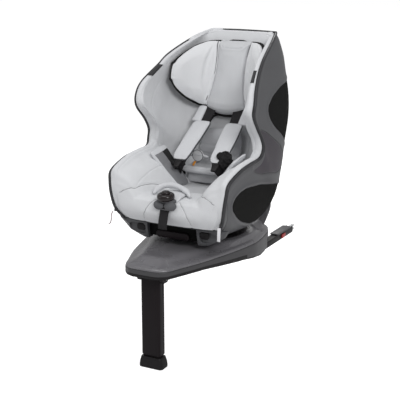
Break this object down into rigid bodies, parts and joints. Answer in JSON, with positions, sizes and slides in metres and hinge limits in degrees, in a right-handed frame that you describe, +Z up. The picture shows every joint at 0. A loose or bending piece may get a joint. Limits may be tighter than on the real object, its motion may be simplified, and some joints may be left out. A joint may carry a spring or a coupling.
{
  "type": "convertible car seat",
  "caption": "Rotating child car seat: padded bucket with harness and lifting headrest on a turntable and recline cradle, over a base with sliding anchor arms and a folding support leg.",
  "frame": {"origin": "Centre of the flat rear pad under the base, on the centre plane, 150 mm behind the axis the turntable spins about", "axes": "+X across the seat toward the side seen on the right from in front, -Y to the front of the seat and the support leg, +Z up"},
  "size_m": [0.4278, 0.825, 0.9915],
  "materials": {
    "cover_fabric": "light grey fine-weave cloth",
    "pad_fabric": "light grey padded cloth",
    "dark_fabric": "charcoal knitted cloth",
    "webbing": "black woven polyester webbing",
    "shell_plastic": "mid grey satin moulding",
    "black_plastic": "black satin moulding",
    "panel_plastic": "purple-grey satin panel",
    "gloss_black": "gloss black moulding",
    "light_plastic": "light grey moulding",
    "red_plastic": "red moulding",
    "foam": "dark bead foam",
    "steel": "zinc-plated steel",
    "piping": "black edge trim"
  },
  "bodies": {
    "base": {"base_lower_housing": "black_plastic", "base_upper_housing": "shell_plastic", "bearing_ring_lower": "steel", "leg_hinge_pin": "steel"},
    "turntable": {"bearing_ring_upper": "steel", "turntable_cradle": "black_plastic", "turntable_spindle": "steel"},
    "rotation_bolt": {"rotation_lock_bolt": "steel"},
    "seat": {"seat_shell": "shell_plastic", "rim_trim": "piping", "side_insert_upper_left": "black_plastic", "side_insert_upper_right": "black_plastic", "side_insert_lower_left": "black_plastic", "side_insert_lower_right": "black_plastic", "side_panel_left": "panel_plastic", "side_panel_right": "panel_plastic", "front_block_left": "shell_plastic", "front_block_right": "shell_plastic", "front_centre_panel": "black_plastic", "seat_cover_lower": "cover_fabric", "seat_cover_upper": "cover_fabric", "impact_liner": "foam", "lumbar_insert": "cover_fabric", "hip_pad_left": "dark_fabric", "hip_pad_right": "dark_fabric", "harness_webbing_left": "webbing", "harness_webbing_right": "webbing", "harness_tongue_left": "black_plastic", "harness_tongue_right": "black_plastic", "tongue_holder_disc": "light_plastic", "crotch_pad": "pad_fabric", "adjuster_webbing": "webbing", "harness_yoke": "steel"},
    "headrest": {"headrest_frame": "black_plastic", "headrest_centre_pad": "cover_fabric", "headrest_wing_left": "cover_fabric", "headrest_wing_right": "cover_fabric"},
    "headrest_lever": {"headrest_handle": "black_plastic"},
    "recline_lever": {"recline_handle": "black_plastic"},
    "recline_bolt": {"recline_latch": "steel"},
    "rotation_key_left": {"rotation_button_left": "black_plastic"},
    "rotation_key_right": {"rotation_button_right": "black_plastic"},
    "shoulder_pad_l": {"shoulder_pad_left": "pad_fabric"},
    "shoulder_pad_r": {"shoulder_pad_right": "pad_fabric"},
    "buckle": {"buckle_body": "gloss_black"},
    "buckle_press": {"buckle_button": "gloss_black"},
    "harness_release": {"harness_release_button": "black_plastic"},
    "anchor_l": {"anchor_arm_left": "black_plastic", "anchor_arm_cover_left": "shell_plastic"},
    "anchor_r": {"anchor_arm_right": "black_plastic", "anchor_arm_cover_right": "shell_plastic"},
    "jaw_l": {"anchor_jaw_left": "steel"},
    "jaw_r": {"anchor_jaw_right": "steel"},
    "anchor_key_l": {"anchor_release_left": "red_plastic"},
    "anchor_key_r": {"anchor_release_right": "red_plastic"},
    "leg": {"leg_outer_tube": "black_plastic"},
    "leg_lower": {"leg_inner_tube": "black_plastic", "leg_foot": "black_plastic"},
    "leg_key": {"leg_adjust_button": "black_plastic"}
  },
  "joints": [
    {"name": "turntable_spin", "type": "hinge", "parent": "base", "child": "turntable", "pos_m": [0, -0.15, 0.08], "axis": [0, 0, 1], "continuous": true},
    {"name": "rotation_bolt_lift", "type": "slide", "parent": "turntable", "child": "rotation_bolt", "axis": [0, 0, 1], "range_m": [0, 0.0045]},
    {"name": "seat_recline", "type": "hinge", "parent": "turntable", "child": "seat", "pos_m": [0, -0.14, 0.398], "axis": [-1, 0, 0], "range_deg": [0, 16]},
    {"name": "headrest_lift", "type": "slide", "parent": "seat", "child": "headrest", "axis": [0, 0.3061, 0.952], "range_m": [0, 0.04]},
    {"name": "headrest_lever_squeeze", "type": "slide", "parent": "headrest", "child": "headrest_lever", "axis": [0, 0.3061, 0.952], "range_m": [0, 0.005]},
    {"name": "recline_lever_pull", "type": "slide", "parent": "seat", "child": "recline_lever", "axis": [0, -1, 0], "range_m": [0, 0.012]},
    {"name": "recline_bolt_draw", "type": "slide", "parent": "seat", "child": "recline_bolt", "axis": [0, -1, 0], "range_m": [0, 0.012]},
    {"name": "rotation_key_left_press", "type": "slide", "parent": "seat", "child": "rotation_key_left", "axis": [0, 1, 0], "range_m": [0, 0.003]},
    {"name": "rotation_key_right_press", "type": "slide", "parent": "seat", "child": "rotation_key_right", "axis": [0, 1, 0], "range_m": [0, 0.003]},
    {"name": "shoulder_pad_left_slide", "type": "slide", "parent": "seat", "child": "shoulder_pad_l", "axis": [0, 0.8319, 0.5549], "range_m": [0, 0.02]},
    {"name": "shoulder_pad_right_slide", "type": "slide", "parent": "seat", "child": "shoulder_pad_r", "axis": [0, 0.8319, 0.5549], "range_m": [0, 0.02]},
    {"name": "buckle_lift", "type": "slide", "parent": "seat", "child": "buckle", "axis": [0, 0, 1], "range_m": [0, 0.015]},
    {"name": "buckle_button_press", "type": "slide", "parent": "buckle", "child": "buckle_press", "axis": [0, 0.2425, -0.9701], "range_m": [0, 0.0025]},
    {"name": "harness_release_press", "type": "slide", "parent": "seat", "child": "harness_release", "axis": [0, 1, 0], "range_m": [0, 0.002]},
    {"name": "anchor_arm_left_slide", "type": "slide", "parent": "base", "child": "anchor_l", "axis": [0, -1, 0], "range_m": [0, 0.12]},
    {"name": "anchor_release_left_slide", "type": "slide", "parent": "anchor_l", "child": "anchor_key_l", "axis": [0, -1, 0], "range_m": [0, 0.008]},
    {"name": "anchor_jaw_left_open", "type": "hinge", "parent": "anchor_l", "child": "jaw_l", "pos_m": [-0.14, 0.23, 0.001], "axis": [-1, 0, 0], "range_deg": [0, 12]},
    {"name": "anchor_arm_right_slide", "type": "slide", "parent": "base", "child": "anchor_r", "axis": [0, -1, 0], "range_m": [0, 0.12]},
    {"name": "anchor_release_right_slide", "type": "slide", "parent": "anchor_r", "child": "anchor_key_r", "axis": [0, -1, 0], "range_m": [0, 0.008]},
    {"name": "anchor_jaw_right_open", "type": "hinge", "parent": "anchor_r", "child": "jaw_r", "pos_m": [0.14, 0.23, 0.001], "axis": [-1, 0, 0], "range_deg": [0, 12]},
    {"name": "leg_fold", "type": "hinge", "parent": "base", "child": "leg", "pos_m": [0, -0.497, 0.02], "axis": [1, 0, 0], "range_deg": [0, 90]},
    {"name": "leg_extend", "type": "slide", "parent": "leg", "child": "leg_lower", "axis": [0, 0, -1], "range_m": [0, 0.09]},
    {"name": "leg_button_press", "type": "slide", "parent": "leg", "child": "leg_key", "axis": [0, -1, 0], "range_m": [0, 0.0022]}
  ],
  "couplings": [
    {"joint": "recline_bolt_draw", "follows": "recline_lever_pull", "ratio": 1},
    {"joint": "rotation_bolt_lift", "follows": "rotation_key_right_press", "ratio": 1.5},
    {"joint": "anchor_jaw_left_open", "follows": "anchor_release_left_slide", "rad_per_m": 26.16},
    {"joint": "anchor_jaw_right_open", "follows": "anchor_release_right_slide", "rad_per_m": 26.16}
  ]
}
